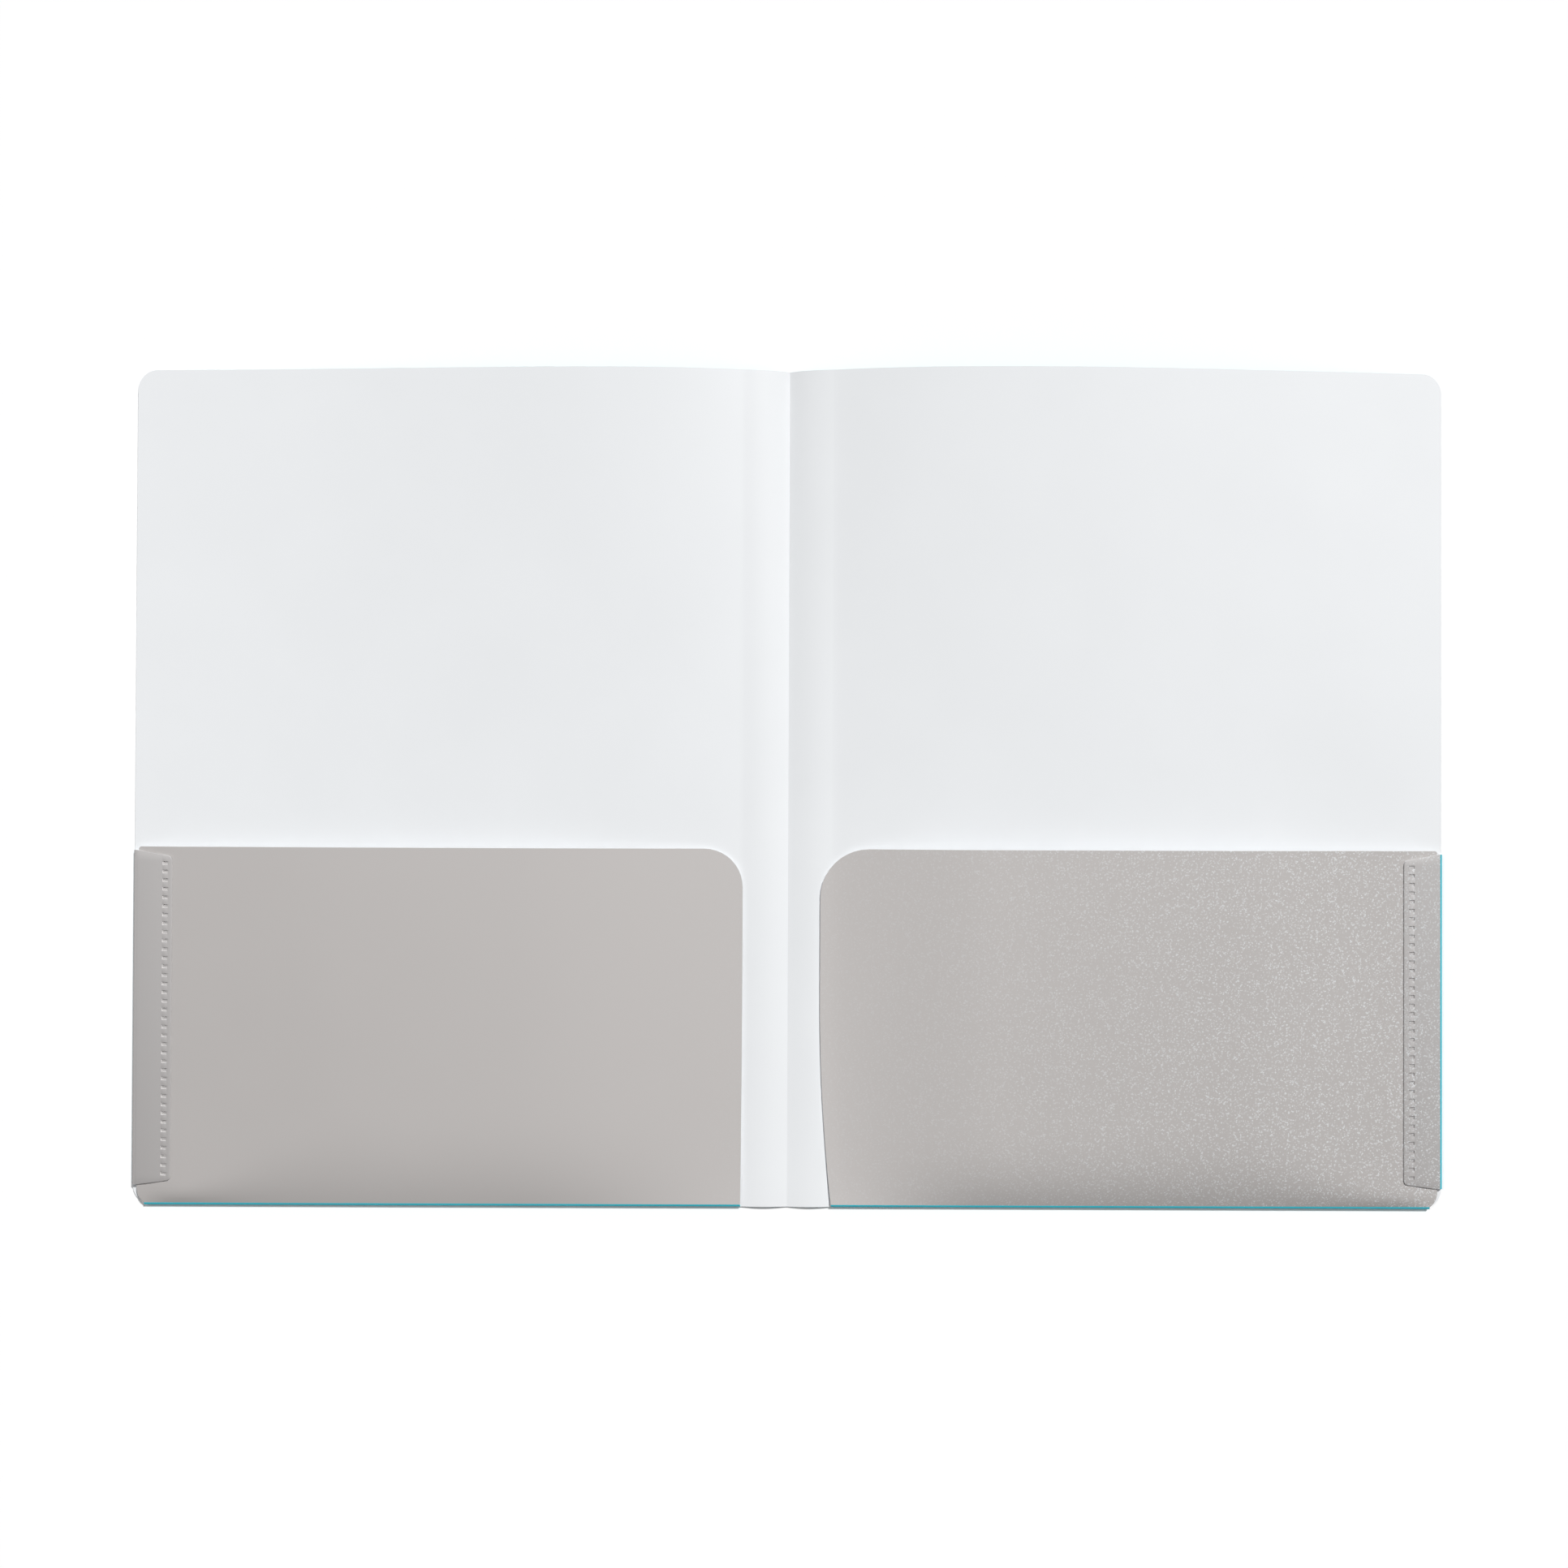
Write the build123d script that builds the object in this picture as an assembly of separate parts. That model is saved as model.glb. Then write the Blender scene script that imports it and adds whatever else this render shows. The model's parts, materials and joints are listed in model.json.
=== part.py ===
from build123d import *
import os

# Two pocket folder, lying open and flat: one polypropylene sheet, die-cut, scored and folded.
# X runs across the covers, Y up the page and Z up from the table.
# The origin is on the table, under the middle of the spine.

# Sheet
sheet_thickness = 0.5
colour_layer = 0.1           # coloured outer skin, part of the sheet's thickness

# Covers
cover_width = 228.6          # middle of the spine to the outer edge
cover_height = 292.1
top_corner_radius = 7.0
bottom_corner_radius = 7.0

# Pockets, folded up from the bottom edge of each cover
pocket_height = 125.0        # bottom edge of the folder to the pocket's mouth
pocket_gap = 0.8             # room for papers between the pocket and its cover
pocket_side_clearance = 0.7  # pocket's outer edge to the side fold's bend line
pocket_end_margin = 4.4      # outer edge of the cover to the end of the bottom fold
foot_rise = 5.2              # bottom fold to where the pocket's outer edge starts to curve in to that end
shoulder_radius = 1.0        # the pocket's upper outer corner, under the tab
left_pocket_margin = 15.8    # middle of the spine to the pocket's inner edge, at the mouth
left_mouth_radius = 13.5
left_straight_edge = 10.6    # inner edge below the mouth's corner, before it swings away from the spine
left_flare = 0.5             # how far it swings by the bottom
right_pocket_margin = 11.3
right_mouth_radius = 17.0
right_straight_edge = 35.0
right_flare = 4.0

# Side tabs, folded in from the outer edge of each cover, over the pocket
tab_width = 14.2             # outer edge of the cover to the tab's free edge
tab_top_drop = 1.2           # pocket's mouth to the tab's top, at the outer edge
tab_top_slant = 2.3          # further drop of the top at the free edge
tab_foot_margin = 0.2        # end of the bottom corner's arc to the tab's foot
tab_foot_slant = 2.0         # rise of the foot at the free edge
tab_corner_radius = 1.5

# Weld spots, in one row along each tab
weld_width = 2.0             # across the tab
weld_length = 1.2            # along the tab
weld_pitch = 3.0
left_weld_margin = 2.5       # tab's free edge to the middle of the row
right_weld_margin = 2.8
weld_end_margin = 1.6        # end of the free edge to the middle of the last spot, at least
weld_recess = 0.15           # tab's face to the spot's face
weld_depth = 0.2             # how far the spot reaches into the pocket

# Spine
closing_clearance = 0.3      # between the two tabs when the folder is shut
crease_gap = 0.1             # score line between the spine and each cover

# Heights
inner_face = sheet_thickness
pocket_base = inner_face + pocket_gap
tab_base = pocket_base + sheet_thickness
tab_face = tab_base + sheet_thickness

# Places, on the right-hand side
bottom = -cover_height / 2
top = cover_height / 2
hinge_spacing = 2 * (tab_face - inner_face) + closing_clearance
spine_width = hinge_spacing - crease_gap
cover_inner = (hinge_spacing + crease_gap) / 2
bottom_fold_radius = tab_base / 2
bottom_fold_y = bottom + bottom_fold_radius
bottom_fold_end = cover_width - pocket_end_margin
side_fold_radius = tab_face / 2
side_fold_x = cover_width - side_fold_radius
mouth_y = bottom + pocket_height
pocket_outer = side_fold_x - pocket_side_clearance
tab_free_x = cover_width - tab_width
tab_top_y = mouth_y - tab_top_drop
tab_foot_y = bottom + bottom_corner_radius + tab_foot_margin
free_edge_top = tab_top_y - tab_top_slant
free_edge_foot = tab_foot_y + tab_foot_slant


def rounded(face, *corners):
    # The face with its corners, given as (point, radius), rounded.
    for point, radius in corners:
        corner = face.vertices().sort_by_distance(point)[0]
        face = fillet(corner, radius)
    return face


def rectangle(low_x, low_y, high_x, high_y):
    shape = Rectangle(high_x - low_x, high_y - low_y, align=Align.MIN)
    return Pos(low_x, low_y) * shape


def plate(face, low, high):
    return extrude(Pos(0, 0, low) * face, high - low)


def half_ring(plane, radius, length):
    # A sheet bent through half a turn, opening away from the plane's x direction.
    ring = Circle(radius) - Circle(radius - sheet_thickness)
    outer_half = rectangle(0, -radius, radius, radius)
    return extrude(plane * (ring & outer_half), length)


def cover_outline(fold_start):
    blank = rounded(
        rectangle(cover_inner, bottom, cover_width, top),
        ((cover_width, bottom), bottom_corner_radius),
        ((cover_width, top), top_corner_radius),
    )
    bottom_notch = rectangle(fold_start, bottom, bottom_fold_end, bottom_fold_y)
    side_notch = rectangle(side_fold_x, tab_foot_y, cover_width, tab_top_y)
    return blank - bottom_notch - side_notch


def bottom_fold(fold_start):
    start = Plane(
        origin=(bottom_fold_end, bottom_fold_y, bottom_fold_radius),
        x_dir=(0, -1, 0),
        z_dir=(-1, 0, 0),
    )
    return half_ring(start, bottom_fold_radius, bottom_fold_end - fold_start)


def side_fold():
    start = Plane(
        origin=(side_fold_x, tab_top_y, side_fold_radius),
        x_dir=(1, 0, 0),
        z_dir=(0, -1, 0),
    )
    return half_ring(start, side_fold_radius, tab_top_y - tab_foot_y)


def weld_row(weld_margin, high):
    # The row's spots, from inside the pocket up to the given height.
    row_length = free_edge_top - free_edge_foot - 2 * weld_end_margin
    count = int(row_length / weld_pitch) + 1
    spot = plate(Rectangle(weld_width, weld_length), tab_base - weld_depth, high)
    middle = Pos(tab_free_x + weld_margin, (free_edge_top + free_edge_foot) / 2)
    return [middle * place * spot for place in GridLocations(weld_width, weld_pitch, 1, count)]


def pocket(margin, mouth_radius, straight_edge, flare, windows):
    fold_start = (margin + flare, bottom_fold_y)
    fold_end = (bottom_fold_end, bottom_fold_y)
    foot = (pocket_outer, bottom_fold_y + foot_rise)
    shoulder = (pocket_outer, mouth_y)
    mouth_corner = (margin, mouth_y)
    flare_start = (margin, mouth_y - mouth_radius - straight_edge)
    downward = (0, -1)
    outline = [
        Line(fold_start, fold_end),
        TangentArc(foot, fold_end, tangent=downward),
        Polyline(foot, shoulder, mouth_corner, flare_start),
        TangentArc(flare_start, fold_start, tangent=downward),
    ]
    panel = rounded(
        make_face(outline),
        (shoulder, shoulder_radius),
        (mouth_corner, mouth_radius),
    )
    return plate(panel, pocket_base, tab_base) - windows


def tab(windows):
    top_corner = (tab_free_x, free_edge_top)
    foot_corner = (tab_free_x, free_edge_foot)
    edge = Polyline((side_fold_x, tab_foot_y), (side_fold_x, tab_top_y), top_corner, foot_corner, close=True)
    flap = rounded(make_face(edge), (top_corner, tab_corner_radius), (foot_corner, tab_corner_radius))
    return plate(flap, tab_base, tab_face) - windows


def half_folder(margin, mouth_radius, straight_edge, flare, weld_margin):
    # The pieces of one cover, modelled on the right-hand side.
    fold_start = margin + flare
    windows = weld_row(weld_margin, tab_face)
    return {
        "cover": plate(cover_outline(fold_start), colour_layer, inner_face),
        "cover_film": plate(cover_outline(fold_start), 0, colour_layer),
        "bottom_fold": bottom_fold(fold_start),
        "side_fold": side_fold(),
        "pocket": pocket(margin, mouth_radius, straight_edge, flare, windows),
        "tab": tab(windows),
        "weld_spots": Compound(weld_row(weld_margin, tab_face - weld_recess)),
    }


spine_outline = rectangle(-spine_width / 2, bottom, spine_width / 2, top)
nodes = {
    "spine_strip": plate(spine_outline, colour_layer, inner_face),
    "spine_film": plate(spine_outline, 0, colour_layer),
}
right_half = half_folder(
    right_pocket_margin, right_mouth_radius, right_straight_edge, right_flare, right_weld_margin
)
left_half = half_folder(
    left_pocket_margin, left_mouth_radius, left_straight_edge, left_flare, left_weld_margin
)
for name, piece in right_half.items():
    nodes["right_" + name] = piece
for name, piece in left_half.items():
    nodes["left_" + name] = mirror(piece, about=Plane.YZ)

os.makedirs("parts", exist_ok=True)
for name, piece in nodes.items():
    export_step(piece, f"parts/{name}.step")
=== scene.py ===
import bmesh
import bpy
import json
import math
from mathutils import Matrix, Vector


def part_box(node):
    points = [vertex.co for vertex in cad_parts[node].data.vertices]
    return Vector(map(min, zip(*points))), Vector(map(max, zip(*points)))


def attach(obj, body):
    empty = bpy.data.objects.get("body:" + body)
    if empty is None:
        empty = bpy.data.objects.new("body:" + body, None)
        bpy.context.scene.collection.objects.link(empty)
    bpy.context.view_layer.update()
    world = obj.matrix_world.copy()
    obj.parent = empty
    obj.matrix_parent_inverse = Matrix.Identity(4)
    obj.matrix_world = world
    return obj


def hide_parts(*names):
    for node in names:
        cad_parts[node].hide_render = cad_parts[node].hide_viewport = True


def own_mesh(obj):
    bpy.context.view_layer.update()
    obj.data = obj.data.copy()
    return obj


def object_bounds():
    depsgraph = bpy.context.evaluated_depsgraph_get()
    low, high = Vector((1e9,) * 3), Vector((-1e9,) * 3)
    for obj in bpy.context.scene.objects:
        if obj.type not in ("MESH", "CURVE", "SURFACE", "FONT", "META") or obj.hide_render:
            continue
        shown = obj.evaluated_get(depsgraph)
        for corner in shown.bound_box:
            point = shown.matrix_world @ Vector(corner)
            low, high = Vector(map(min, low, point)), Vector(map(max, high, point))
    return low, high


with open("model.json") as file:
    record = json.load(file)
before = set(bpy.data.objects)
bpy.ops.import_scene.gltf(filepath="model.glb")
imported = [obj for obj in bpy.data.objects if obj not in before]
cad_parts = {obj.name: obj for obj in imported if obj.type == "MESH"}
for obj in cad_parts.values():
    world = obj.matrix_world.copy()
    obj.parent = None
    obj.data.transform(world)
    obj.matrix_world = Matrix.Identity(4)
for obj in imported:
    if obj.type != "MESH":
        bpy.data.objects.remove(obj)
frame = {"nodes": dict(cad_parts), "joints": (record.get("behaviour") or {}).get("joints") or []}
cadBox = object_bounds()
print("frame loaded:", len(frame["nodes"]), "nodes")

# Main places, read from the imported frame, in metres
hinges = {joint["name"]: joint["pos_m"] for joint in frame["joints"]}
hingeX = hinges["right_spine_fold"][0]
innerFace = hinges["right_spine_fold"][2]      # the covers' inner face, one sheet above the table
sheetThickness = innerFace
bottomY, topY = cadBox[0].y, cadBox[1].y
outerX = cadBox[1].x
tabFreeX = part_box("right_tab")[0].x
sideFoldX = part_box("right_side_fold")[0].x
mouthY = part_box("right_pocket")[1].y
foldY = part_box("right_pocket")[0].y
samePlace = 1e-6                               # points nearer than this count as one place
sides = {"left": -1, "right": 1}


def hexColour(code):
    # sRGB hex to linear, by the standard curve
    values = [int(code[i:i + 2], 16) / 255 for i in (1, 3, 5)]
    linear = [v / 12.92 if v <= 0.04045 else ((v + 0.055) / 1.055) ** 2.4 for v in values]
    return (*linear, 1)


def addNode(tree, kind, inputs=None, **settings):
    node = tree.nodes.new(kind)
    for name, value in settings.items():
        setattr(node, name, value)
    for name, value in (inputs or {}).items():
        if isinstance(value, bpy.types.NodeSocket):
            tree.links.new(value, node.inputs[name])
        else:
            node.inputs[name].default_value = value
    return node


def smoothStep(low, high, value):
    share = min(max((value - low) / (high - low), 0), 1)
    return share * share * (3 - 2 * share)


def humped(share):
    return 4 * share * (1 - share)      # 1 halfway, and 0 at both ends


# Materials

# Two values at each point of the grey sheets, which put painted light into their colour: the sheets are a
# little clear, and the pearl flakes in the print glint where the light catches them
lightBehind = "lightBehind"      # painted light: paler where light comes in behind the sheet
flakesLit = "flakesLit"          # painted glints: share of the flakes that catch the light, which comes from the right
litFrom, litTo = -0.06, 0.20     # places across the folder, in metres, between which the painted glints grow from none to full

polypropylene = {
    "ior": 1.49, "roughnessSpread": 0.05,      # the grain takes the roughness this far up and down
    "grainDetail": 2, "grainRoughness": 0.6, "cloudDetail": 3,
}
firstColour, secondColour, mixedColour = 6, 7, 2      # the Mix node's sockets for colours


def sheetMaterial(name, look):
    # Extruded polypropylene is satin, with a fine embossed grain and faint clouds in its colour.
    # The grey print has pearl flakes in it, drawn as fine pale flecks: painted glints, growing towards the
    # right where the light catches them.
    material = bpy.data.materials.new(name)
    material.use_nodes = True
    tree = material.node_tree
    tree.nodes.clear()
    place = addNode(tree, "ShaderNodeTexCoord").outputs["Object"]
    grain = addNode(tree, "ShaderNodeTexNoise", {
        "Vector": place, "Scale": 1 / look["grain"],
        "Detail": polypropylene["grainDetail"], "Roughness": polypropylene["grainRoughness"],
    }).outputs["Fac"]
    cloud = addNode(tree, "ShaderNodeTexNoise", {
        "Vector": place, "Scale": 1 / look["cloud"], "Detail": polypropylene["cloudDetail"],
    }).outputs["Fac"]
    colour = addNode(tree, "ShaderNodeMix", {
        "Factor": cloud,
        firstColour: hexColour(look["darkColour"]),
        secondColour: hexColour(look["lightColour"]),
    }, data_type="RGBA").outputs[mixedColour]
    if "paleColour" in look:
        # painted light: the grey sheets are drawn paler where light comes in behind them
        behind = addNode(tree, "ShaderNodeAttribute", attribute_name=lightBehind)
        colour = addNode(tree, "ShaderNodeMix", {
            "Factor": behind.outputs["Fac"],
            firstColour: colour,
            secondColour: hexColour(look["paleColour"]),
        }, data_type="RGBA").outputs[mixedColour]
        # painted glints: pale flecks, as many at each place as catch the light there
        lit = addNode(tree, "ShaderNodeAttribute", attribute_name=flakesLit)
        flakes = addNode(tree, "ShaderNodeTexVoronoi", {"Vector": place, "Scale": 1 / look["flake"]})
        chance = addNode(tree, "ShaderNodeSeparateColor", {"Color": flakes.outputs["Color"]})
        glint = addNode(tree, "ShaderNodeMapRange", {
            "Value": chance.outputs["Red"],
            "From Min": 1 - look["flakeShare"],
            "To Max": lit.outputs["Fac"],
        })
        colour = addNode(tree, "ShaderNodeMix", {
            "Factor": glint.outputs[0],
            firstColour: colour,
            secondColour: hexColour(look["flakeColour"]),
        }, data_type="RGBA").outputs[mixedColour]
    rough = addNode(tree, "ShaderNodeMapRange", {
        "Value": grain,
        "To Min": look["roughness"] - polypropylene["roughnessSpread"],
        "To Max": look["roughness"] + polypropylene["roughnessSpread"],
    })
    bump = addNode(tree, "ShaderNodeBump", {
        "Height": grain, "Strength": look["bump"], "Distance": look["grainDepth"],
    })
    shader = addNode(tree, "ShaderNodeBsdfPrincipled", {
        "Base Color": colour, "IOR": polypropylene["ior"],
        "Roughness": rough.outputs[0], "Normal": bump.outputs[0],
    })
    addNode(tree, "ShaderNodeOutputMaterial", {"Surface": shader.outputs[0]})
    return material


# Pattern sizes are in metres. The flakes are about 0.1 mm and the grain 0.2 mm; both are drawn coarser so
# that they show in the render.
whiteLook = {
    "darkColour": "#EBEDEF", "lightColour": "#F0F2F4", "cloud": 0.04, "roughness": 0.46,
    "grain": 0.0005, "grainDepth": 0.00002, "bump": 0.05,
}
greyLook = {
    "darkColour": "#B2AEAC", "lightColour": "#B8B4B2", "paleColour": "#C3BFBD",
    "cloud": 0.05, "roughness": 0.44,
    "grain": 0.0005, "grainDepth": 0.00002, "bump": 0.05,
    "flake": 0.0004, "flakeShare": 0.25, "flakeColour": "#D6D7D8",
}
aquaLook = {
    "darkColour": "#18ABBE", "lightColour": "#32C1D2", "cloud": 0.05, "roughness": 0.40,
    "grain": 0.0008, "grainDepth": 0.00003, "bump": 0.15,
}
# A tab that lies on a grey pocket looks darker than the pocket over its white cover; this shade is painted
# into its colour.
shadedTabLook = {
    **greyLook,
    "darkColour": "#A7A4A3", "lightColour": "#ABA8A7", "paleColour": "#B8B5B4", "flakeColour": "#CED0D1",
}
# Polypropylene turns whitish where it is drawn down round a weld; the walls drawn with this also carry a
# painted highlight, where they face the light.
whitenedLitWeldLook = {**shadedTabLook, "darkColour": "#DAD8D7", "lightColour": "#DEDCDB", "paleColour": "#E0DEDD"}
whiteSheet = sheetMaterial("White polypropylene, embossed", whiteLook)
greySheet = sheetMaterial("Pearl grey polypropylene, printed", greyLook)
greyShadedSheet = sheetMaterial("Pearl grey polypropylene, printed, two layers", shadedTabLook)
whitenedLitWeldSheet = sheetMaterial("Pearl grey polypropylene, whitened by the weld", whitenedLitWeldLook)
aquaSheet = sheetMaterial("Aqua polypropylene, printed", aquaLook)
print("materials made")


# How the thin sheet bows when it lies open: up from the crease, over, and down to the outer edge

bow = {
    # power and soften place the top of the arch, and damp lowers it towards the outer edge
    "left": {"height": 0.0108, "power": 0.5, "soften": 0.06, "damp": 0.6},
    "right": {"height": 0.0116, "power": 0.55, "soften": 0.06, "damp": 0.0},
    "rise": 1.2,              # how the bow grows from the bottom edge to the top
    "creaseLift": 0.0008,     # small ridge along each side of the crease
    "creaseReach": 0.016,
    "heldFrom": 0.075,        # the tab holds its edge flat, from here to the tab's free edge
    "releaseLength": 0.06,    # above the pocket the edge is free again
    "keep": 0.05,             # a small share of the bow
}


def heldShare(across, y):
    beside = smoothStep(outerX - bow["heldFrom"], tabFreeX, across)
    return beside * (1 - smoothStep(mouthY, mouthY + bow["releaseLength"], y))


def bowAt(side, across, y):
    curve = bow[side]
    u = min(across / outerX, 1)
    power, soften = curve["power"], curve["soften"]
    along = ((u + soften) ** power - soften ** power) / ((1 + soften) ** power - soften ** power)
    arch = math.sin(math.pi * along) * (1 - u) ** curve["damp"]
    page = max((y - foldY) / (topY - foldY), 0) ** bow["rise"]
    crease = bow["creaseLift"] * math.sin(math.pi * min(across / bow["creaseReach"], 1))
    return curve["height"] * arch * page * (1 - heldShare(across, y)) + crease


# Sheet pieces are drawn flat on the right-hand side, cut into a fine net, bowed and mirrored to their side

net = {"cornerSegments": 10, "snap": 1e-7}
cutEdge = {"segments": 2, "angle": 75}      # degrees: only edges sharper than this are rounded


def outlineFace(bm, corners):
    points = [bm.verts.new((x, y, 0)) for x, y, radius in corners]
    bm.faces.new(points)
    for point, (x, y, radius) in zip(points, corners):
        if radius:
            bmesh.ops.bevel(bm, geom=[point], offset=radius, affect="VERTICES",
                            segments=net["cornerSegments"], profile=0.5, material=-1)


def cutNet(bm, acrossPlaces, upPlaces):
    for places, normal in ((acrossPlaces, (1, 0, 0)), (upPlaces, (0, 1, 0))):
        for place in places:
            everything = bm.verts[:] + bm.edges[:] + bm.faces[:]
            bmesh.ops.bisect_plane(bm, geom=everything, dist=net["snap"],
                                   plane_co=Vector(normal) * place, plane_no=normal)


def evenPlaces(low, high, count, ease=1):
    return [low + (high - low) * (i / count) ** ease for i in range(1, count)]


def dropFaces(bm, lowX, lowY, highX, highY):
    inside = []
    for face in bm.faces:
        middle = face.calc_center_median()
        if lowX < middle.x < highX and lowY < middle.y < highY:
            inside.append(face)
    bmesh.ops.delete(bm, geom=inside, context="FACES")


def sharpenLine(bm, x):
    # The sheet is scored along this line, so it shades as two faces
    for edge in bm.edges:
        if all(abs(vert.co.x - x) < samePlace for vert in edge.verts):
            edge.smooth = False


def liftSheet(bm, side, base, extra=None):
    for vert in bm.verts:
        across, y = vert.co.x, vert.co.y
        vert.co.z += base + bowAt(side, across, y) + (extra(across, y) if extra else 0)


def finishPiece(bm, name, side, materials, behind=None):
    if behind:
        behindLayer = bm.verts.layers.float.new(lightBehind)
        litLayer = bm.verts.layers.float.new(flakesLit)
        for vert in bm.verts:
            vert[behindLayer] = behind(vert.co.x, vert.co.y)
            vert[litLayer] = smoothStep(litFrom, litTo, sides[side] * vert.co.x)
    if sides[side] < 0:
        bmesh.ops.scale(bm, vec=(-1, 1, 1), verts=bm.verts)
        bmesh.ops.reverse_faces(bm, faces=bm.faces)
    for face in bm.faces:
        face.smooth = True
    for edge in bm.edges:
        if edge.is_boundary:
            edge.smooth = False      # the cut edge stays crisp
    mesh = bpy.data.meshes.new(name)
    bm.to_mesh(mesh)
    bm.free()
    piece = bpy.data.objects.new(name, mesh)
    bpy.context.collection.objects.link(piece)
    for material in materials:
        mesh.materials.append(material)
    return piece


def thicken(piece, shellStep, rimStep, bevelWidth=0):
    # shellStep and rimStep count on in the piece's list of materials, for its far face and its cut edge
    wall = piece.modifiers.new("sheet thickness", "SOLIDIFY")
    wall.thickness = sheetThickness
    wall.offset = -1
    wall.use_even_offset = True
    wall.material_offset = shellStep
    wall.material_offset_rim = rimStep
    if bevelWidth:
        edge = piece.modifiers.new("cut edge", "BEVEL")
        edge.width = bevelWidth
        edge.segments = cutEdge["segments"]
        edge.limit_method = "ANGLE"
        edge.angle_limit = math.radians(cutEdge["angle"])


def flattenWhenShut(piece, body, base):
    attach(piece, body)
    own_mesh(piece)


# Covers. Each runs on past its hinge line by one sheet's thickness, a little under the spine strip, so that
# the outer corner is filled when the folder is shut.

cover = {
    "topRadius": 0.007, "bottomRadius": 0.007,
    "lapRamp": 0.00025, "lapDrop": 0.00005, "lapInset": 0.0001,
    "columns": 60, "rows": 48, "ease": 1.5,      # narrower columns towards the spine
}


def coverSheet(side):
    start = hingeX - sheetThickness
    foldLow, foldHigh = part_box(side + "_bottom_fold")
    sideLow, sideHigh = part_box(side + "_side_fold")
    foldInner, foldOuter = sorted((abs(foldLow.x), abs(foldHigh.x)))
    sideInner = min(abs(sideLow.x), abs(sideHigh.x))
    bm = bmesh.new()
    outlineFace(bm, [
        (start, bottomY, 0),
        (outerX, bottomY, cover["bottomRadius"]),
        (outerX, topY, cover["topRadius"]),
        (start, topY, 0),
    ])
    lapEnd = hingeX - cover["lapRamp"]
    columns = evenPlaces(hingeX, outerX, cover["columns"], cover["ease"])
    cutNet(bm, [lapEnd, hingeX, foldInner, foldOuter, sideInner, *columns],
           [foldHigh.y, sideLow.y, sideHigh.y, *evenPlaces(bottomY, topY, cover["rows"])])
    dropFaces(bm, foldInner, bottomY, foldOuter, foldHigh.y)
    dropFaces(bm, sideInner, sideLow.y, outerX, sideHigh.y)
    liftSheet(bm, side, innerFace)
    for vert in bm.verts:
        if vert.co.x < lapEnd + samePlace:
            vert.co.z -= cover["lapDrop"]
            vert.co.y *= 1 - cover["lapInset"] / topY
    sharpenLine(bm, hingeX)
    for face in bm.faces:
        if face.calc_center_median().x < hingeX:
            face.material_index = 1      # aqua: its end shows on the spine's outside when the folder is shut
    piece = finishPiece(bm, side + "CoverSheet", side, [whiteSheet, aquaSheet])
    thicken(piece, 1, 0)
    flattenWhenShut(piece, side + "_side", innerFace)
    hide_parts(side + "_cover", side + "_cover_film")


for side in sides:
    coverSheet(side)
print("covers made")


# Spine: the narrow strip between the two hinge lines, creased along its middle

spine = {"columns": 16, "rows": 48}


def spineStrip():
    bm = bmesh.new()
    outlineFace(bm, [(-hingeX, bottomY, 0), (hingeX, bottomY, 0), (hingeX, topY, 0), (-hingeX, topY, 0)])
    cutNet(bm, [0, *evenPlaces(-hingeX, hingeX, spine["columns"])], evenPlaces(bottomY, topY, spine["rows"]))
    for vert in bm.verts:
        side = "left" if vert.co.x < 0 else "right"
        vert.co.z = innerFace + bowAt(side, abs(vert.co.x), vert.co.y)
    sharpenLine(bm, 0)
    piece = finishPiece(bm, "spineStrip", "right", [whiteSheet, aquaSheet])
    thicken(piece, 1, 0)
    flattenWhenShut(piece, "spine", innerFace)
    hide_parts("spine_strip", "spine_film")


spineStrip()
print("spine made")


# Pockets

pocket = {
    "left": {"mouthRadius": 0.0135, "straightEdge": 0.0106, "rollHeight": 0.0044, "rollPower": 3.0,
             "edgeReach": 0.08, "edgeLight": 0.75, "edgeFade": 1.0},
    "right": {"mouthRadius": 0.0170, "straightEdge": 0.0350, "rollHeight": 0.0059, "rollPower": 3.8,
              "edgeReach": 0.06, "edgeLight": 1.0, "edgeFade": 2.0},
    "footRise": 0.0052, "footSteps": 8, "shoulderRadius": 0.0010,
    "rollReach": 0.036,       # the front rolls over to the bottom fold within this height
    "footReach": 0.007,       # and more sharply beside the tab
    "tabLift": 0.0022,        # how far the tab's free edge stands up with it
    "edgeDip": 0.0006,        # the free inner edge dips to the cover, within edgeReach
    "bulge": 0.0010,
    "mouthLight": 0.25,       # painted light behind the front from its mouth; edgeLight is painted light from its inner edge
    "columns": 60, "rows": 44, "rollRows": 24, "edge": 0.00008,
}


def tabLift(across):
    return pocket["tabLift"] * min((sideFoldX - across) / (sideFoldX - tabFreeX), 1)


def rolledShare(y, reach, power):
    return 1 - (1 - min(max((y - foldY) / reach, 0), 1)) ** power


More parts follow.
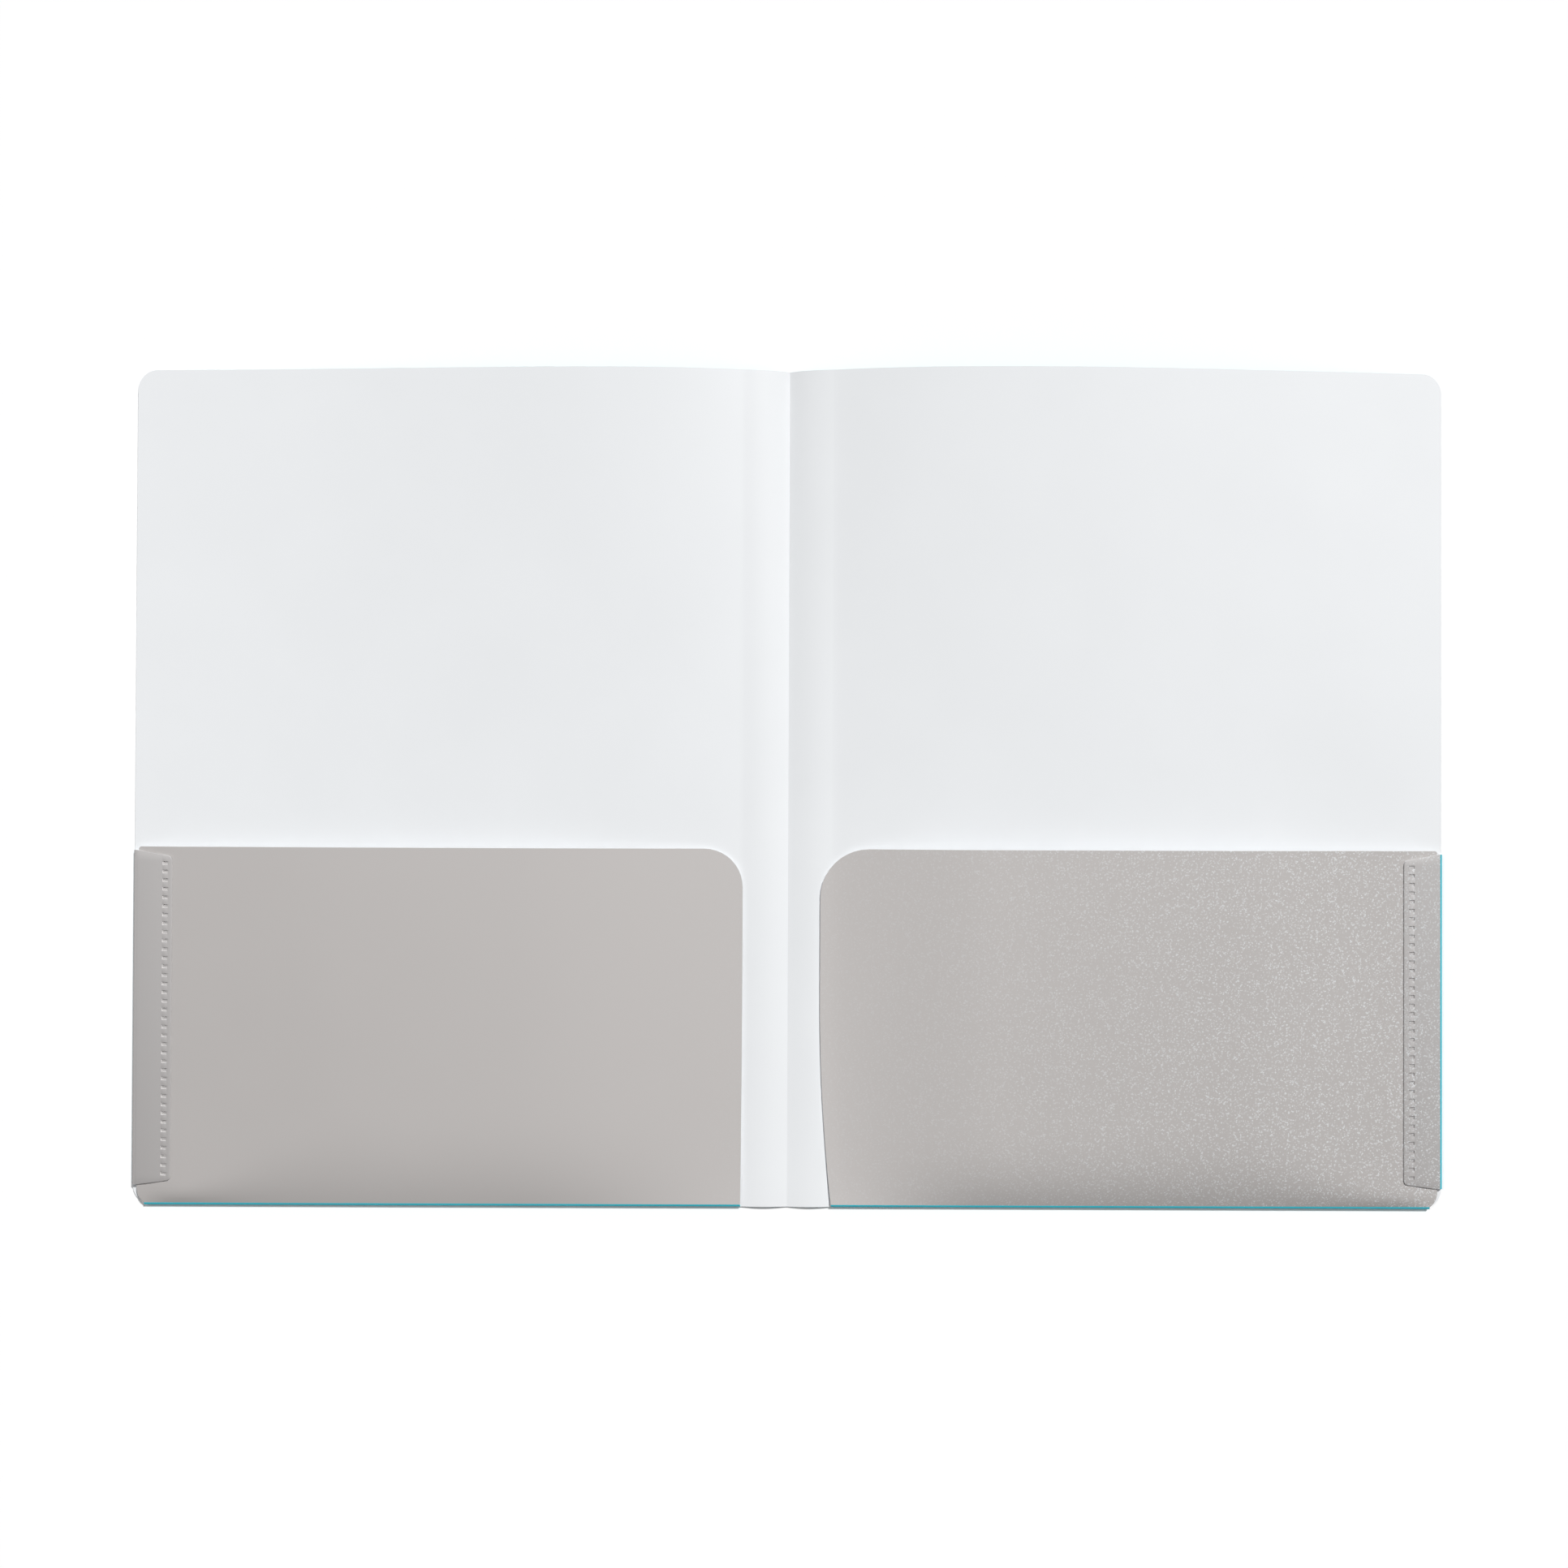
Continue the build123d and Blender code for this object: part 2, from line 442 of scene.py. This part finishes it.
def pocketFront(side):
    own = pocket[side]
    low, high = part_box(side + "_pocket")
    innerX, pocketX = sorted((abs(low.x), abs(high.x)))
    foldStart, foldEnd = sorted(abs(corner.x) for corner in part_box(side + "_bottom_fold"))
    flare = foldStart - innerX
    flareTop = high.y - own["mouthRadius"] - own["straightEdge"]
    inset = pocketX - foldEnd
    footRadius = (inset ** 2 + pocket["footRise"] ** 2) / (2 * inset)
    turn = math.asin(pocket["footRise"] / footRadius)
    footArc = []
    for i in range(pocket["footSteps"] + 1):
        angle = turn * (1 - i / pocket["footSteps"])
        footX = pocketX - footRadius * (1 - math.cos(angle))
        footY = low.y + pocket["footRise"] - footRadius * math.sin(angle)
        footArc.append((footX, footY, 0))
    bm = bmesh.new()
    outlineFace(bm, [
        (innerX, low.y, 0),
        *footArc,
        (pocketX, high.y, pocket["shoulderRadius"]),
        (innerX, high.y, own["mouthRadius"]),
    ])
    rollTop = low.y + pocket["rollReach"]
    cutNet(bm, evenPlaces(innerX, pocketX, pocket["columns"]),
           [*evenPlaces(low.y, rollTop, pocket["rollRows"]), *evenPlaces(rollTop, high.y, pocket["rows"])])

    def innerEdge(y):
        # a large arc: upright at flareTop, and further from the spine towards the bottom
        down = max((flareTop - y) / (flareTop - low.y), 0)
        return innerX + flare * down * down

    for vert in bm.verts:
        vert.co.x = pocketX - (pocketX - vert.co.x) * (pocketX - innerEdge(vert.co.y)) / (pocketX - innerX)

    def upShare(y):
        return (y - low.y) / (high.y - low.y)

    def insideShare(across, y):
        return min(max((across - innerEdge(y)) / (tabFreeX - innerEdge(y)), 0), 1)

    def swell(across, y):
        held = heldShare(across, y)
        reach = pocket["rollReach"] * (1 - held) + pocket["footReach"] * held
        height = own["rollHeight"] * (1 - held) + tabLift(across) * held
        clear = smoothStep(innerEdge(y), innerEdge(y) + own["edgeReach"], across)
        rolled = rolledShare(y, reach, own["rollPower"])
        bulge = pocket["bulge"] * humped(upShare(y)) * humped(insideShare(across, y))
        return bulge + height * rolled * clear - pocket["edgeDip"] * rolled * (1 - clear)

    # painted light: the front is drawn paler towards its mouth and its free inner edge, where light comes in
    # behind it
    def behind(across, y):
        fromEdge = own["edgeLight"] * (1 - insideShare(across, y)) ** own["edgeFade"]
        return min(pocket["mouthLight"] * upShare(y) + fromEdge, 1)

    liftSheet(bm, side, high.z, swell)
    piece = finishPiece(bm, side + "PocketFront", side, [greySheet, whiteSheet], behind)
    thicken(piece, 1, 1, pocket["edge"])
    flattenWhenShut(piece, side + "_side", high.z)
    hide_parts(side + "_pocket")


for side in sides:
    pocketFront(side)
print("pockets made")


# Side tabs, with a dent at every weld

tab = {
    # the left tab's weld walls carry a painted highlight, as they face the light; the right tab's face away
    # and keep the tab's grey
    "left": {"weldWall": 0.00025, "weldDepth": 0.00040, "wallSheet": whitenedLitWeldSheet},
    "right": {"weldWall": 0.00030, "weldDepth": 0.00036, "wallSheet": greyShadedSheet},
    "topSlant": 0.0023, "footSlant": 0.0020, "cornerRadius": 0.0015,
    "weldPitch": 0.0030, "edge": 0.00025,
    "curl": 0.0002, "curlReach": 0.0008, "curlColumns": 4,      # the free edge is pressed down a little
    "swell": 0.0002, "columns": 12,      # and the rest arches up to the outer fold
    "crispAngle": 20,         # degrees: the walls round each weld are crisp
}


# painted light: tabs and folds are drawn paler towards the pocket's mouth
def tabBehind(across, y):
    return min(max((y - foldY) / (mouthY - foldY), 0), 1)


def sideTab(side):
    low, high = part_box(side + "_tab")
    weldLow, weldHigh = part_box(side + "_weld_spots")
    freeX, foldX = sorted((abs(low.x), abs(high.x)))
    weldInner, weldOuter = sorted((abs(weldLow.x), abs(weldHigh.x)))
    bm = bmesh.new()
    outlineFace(bm, [
        (foldX, low.y, 0),
        (foldX, high.y, 0),
        (freeX, high.y - tab["topSlant"], tab["cornerRadius"]),
        (freeX, low.y + tab["footSlant"], tab["cornerRadius"]),
    ])
    rowLength = weldHigh.y - weldLow.y
    count = int(rowLength / tab["weldPitch"]) + 1
    spotLength = rowLength - (count - 1) * tab["weldPitch"]
    starts = [weldLow.y + i * tab["weldPitch"] for i in range(count)]
    curlPlaces = evenPlaces(freeX, freeX + tab["curlReach"], tab["curlColumns"])
    cutNet(bm, [*curlPlaces, weldInner, weldOuter, *evenPlaces(weldOuter, foldX, tab["columns"])],
           [y for s in starts for y in (s, s + spotLength)])
    spots = []
    for face in bm.faces:
        middle = face.calc_center_median()
        beside = weldInner < middle.x < weldOuter
        if beside and any(s < middle.y < s + spotLength for s in starts):
            spots.append(face)
    bmesh.ops.recalc_face_normals(bm, faces=bm.faces)
    if bm.faces[0].normal.z < 0:
        bmesh.ops.reverse_faces(bm, faces=bm.faces)
    weld = tab[side]
    walls = bmesh.ops.inset_individual(bm, faces=spots, thickness=weld["weldWall"], depth=-weld["weldDepth"])
    for face in walls["faces"]:
        face.material_index = 2      # wallSheet
    for vert in bm.verts:
        curl = max(1 - (vert.co.x - freeX) / tab["curlReach"], 0)
        arched = max((vert.co.x - weldOuter) / (foldX - weldOuter), 0)
        lift = tabLift(vert.co.x) * rolledShare(vert.co.y, pocket["footReach"], pocket[side]["rollPower"])
        vert.co.z += high.z + lift - tab["curl"] * curl * curl + tab["swell"] * math.sin(math.pi * arched)
    sheets = [greyShadedSheet, whiteSheet, weld["wallSheet"]]
    piece = finishPiece(bm, side + "SideTab", side, sheets, tabBehind)
    piece.data.set_sharp_from_angle(angle=math.radians(tab["crispAngle"]))
    thicken(piece, 1, 1, tab["edge"])
    flattenWhenShut(piece, side + "_side", high.z)
    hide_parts(side + "_tab", side + "_weld_spots")


for side in sides:
    sideTab(side)
print("tabs made")


# Folds: half turns of the sheet. The print changes from aqua to grey at a share of the fold's height.

fold = {"steps": 14, "lengths": 40, "bottomPrint": 1, "leftPrint": 0.3, "rightPrint": 0.975}


def halfTurn(side, name, low, high, along, printShare, node):
    # A half circle made by a spin, then drawn out along the fold in equal lengths
    radius = (high.z - low.z) / 2
    inner, outer = sorted((abs(low.x), abs(high.x)))
    if along == "x":
        centre, axis, run = Vector((inner, high.y, radius)), (1, 0, 0), Vector((outer - inner, 0, 0))
    else:
        centre, axis, run = Vector((inner, low.y, radius)), (0, 1, 0), Vector((0, high.y - low.y, 0))
    bm = bmesh.new()
    start = bm.verts.new(centre + Vector((0, 0, radius)))
    bmesh.ops.spin(bm, geom=[start], cent=centre, axis=axis, angle=math.pi, steps=fold["steps"],
                   use_duplicate=False)
    edges = bm.edges[:]
    for i in range(fold["lengths"]):
        made = bmesh.ops.extrude_edge_only(bm, edges=edges)["geom"]
        moved = [item for item in made if isinstance(item, bmesh.types.BMVert)]
        bmesh.ops.translate(bm, vec=run / fold["lengths"], verts=moved)
        ends = set(moved)
        edges = [edge for edge in bm.edges if all(vert in ends for vert in edge.verts)]
    bmesh.ops.recalc_face_normals(bm, faces=bm.faces)
    middle = centre + run / 2
    outward = sum(face.normal.dot(face.calc_center_median() - middle) for face in bm.faces)
    if outward < 0:
        bmesh.ops.reverse_faces(bm, faces=bm.faces)
    for face in bm.faces:
        if face.calc_center_median().z > printShare * 2 * radius:
            face.material_index = 1      # grey
    piece = finishPiece(bm, name, side, [aquaSheet, greyShadedSheet, whiteSheet], tabBehind)
    thicken(piece, 2, 2)
    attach(piece, side + "_side")
    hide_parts(node)


for side in sides:
    node = side + "_bottom_fold"
    halfTurn(side, side + "BottomFold", *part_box(node), "x", fold["bottomPrint"], node)
    node = side + "_side_fold"
    halfTurn(side, side + "SideFold", *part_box(node), "y", fold[side + "Print"], node)
print("folds made")


# Stage: a white floor that keeps the shadow, and a white surround

stage = {"colour": "#FFFFFF", "floorHalf": 4.0, "floorDrop": 0.0002, "floorGlow": 0.06, "fill": 0.15}


def seenDirectly(tree):
    # 1 where the camera, a gloss or glass looks at the surface, and 0 where it only lights something
    path = addNode(tree, "ShaderNodeLightPath")
    seen = path.outputs["Is Camera Ray"]
    for ray in ("Is Glossy Ray", "Is Transmission Ray"):
        either = addNode(tree, "ShaderNodeMath", {0: seen, 1: path.outputs[ray]}, operation="MAXIMUM")
        seen = either.outputs[0]
    return seen


def whiteFloor():
    bm = bmesh.new()
    bmesh.ops.create_grid(bm, x_segments=1, y_segments=1, size=stage["floorHalf"])
    bmesh.ops.translate(bm, vec=(0, 0, -stage["floorDrop"]), verts=bm.verts)
    mesh = bpy.data.meshes.new("floor")
    bm.to_mesh(mesh)
    bm.free()
    floor = bpy.data.objects.new("floor", mesh)
    bpy.context.collection.objects.link(floor)
    # Matt paper scatters light evenly, with no gloss
    material = bpy.data.materials.new("White studio paper, matt")
    material.use_nodes = True
    tree = material.node_tree
    tree.nodes.clear()
    glow = addNode(tree, "ShaderNodeMath", {0: seenDirectly(tree), 1: stage["floorGlow"]},
                   operation="MULTIPLY")
    paper = addNode(tree, "ShaderNodeBsdfDiffuse", {"Color": hexColour(stage["colour"])})
    light = addNode(tree, "ShaderNodeEmission", {"Strength": glow.outputs[0]})
    both = addNode(tree, "ShaderNodeAddShader", {0: paper.outputs[0], 1: light.outputs[0]})
    addNode(tree, "ShaderNodeOutputMaterial", {"Surface": both.outputs[0]})
    mesh.materials.append(material)


def whiteSurround():
    world = bpy.data.worlds.new("surround")
    bpy.context.scene.world = world
    world.use_nodes = True
    tree = world.node_tree
    tree.nodes.clear()
    strength = addNode(tree, "ShaderNodeMapRange", {
        "Value": seenDirectly(tree), "To Min": stage["fill"], "To Max": 1,
    })
    glow = addNode(tree, "ShaderNodeBackground", {
        "Color": hexColour(stage["colour"]), "Strength": strength.outputs[0],
    })
    addNode(tree, "ShaderNodeOutputWorld", {"Surface": glow.outputs[0]})


whiteFloor()
whiteSurround()

# Angles in degrees: the key lamp is at the top right, the other at the left
lamps = {
    "key": {"strength": 2.86, "softness": 5, "azimuth": 58, "elevation": 50},
    "side": {"strength": 0.40, "softness": 8, "azimuth": 150, "elevation": 50},
}


def studioLamp(name, lamp):
    data = bpy.data.lights.new(name, "SUN")
    data.energy = lamp["strength"]
    data.angle = math.radians(lamp["softness"])
    light = bpy.data.objects.new(name, data)
    bpy.context.collection.objects.link(light)
    azimuth, elevation = math.radians(lamp["azimuth"]), math.radians(lamp["elevation"])
    towards = Vector((math.cos(azimuth) * math.cos(elevation), math.sin(azimuth) * math.cos(elevation),
                      math.sin(elevation)))
    light.rotation_euler = towards.to_track_quat("Z", "Y").to_euler()


for name, lamp in lamps.items():
    studioLamp(name, lamp)

camera = {
    "distance": 0.7, "frameWidth": 0.5494, "aim": (-0.0015, 0.0016, 0),      # metres
    "tilt": 0.6, "roll": 0.215,      # degrees
    "sensor": 36,                    # millimetres
}


def photoCamera():
    data = bpy.data.cameras.new("camera")
    data.sensor_width = camera["sensor"]
    data.lens = camera["sensor"] * camera["distance"] / camera["frameWidth"]
    seen = bpy.data.objects.new("camera", data)
    bpy.context.collection.objects.link(seen)
    tilt = math.radians(camera["tilt"])
    seen.location = Vector(camera["aim"]) + camera["distance"] * Vector((0, -math.sin(tilt), math.cos(tilt)))
    seen.rotation_euler = (tilt, 0, math.radians(camera["roll"]))
    bpy.context.scene.camera = seen


photoCamera()
bpy.context.scene.view_settings.view_transform = "Standard"
print("stage, light and camera made")
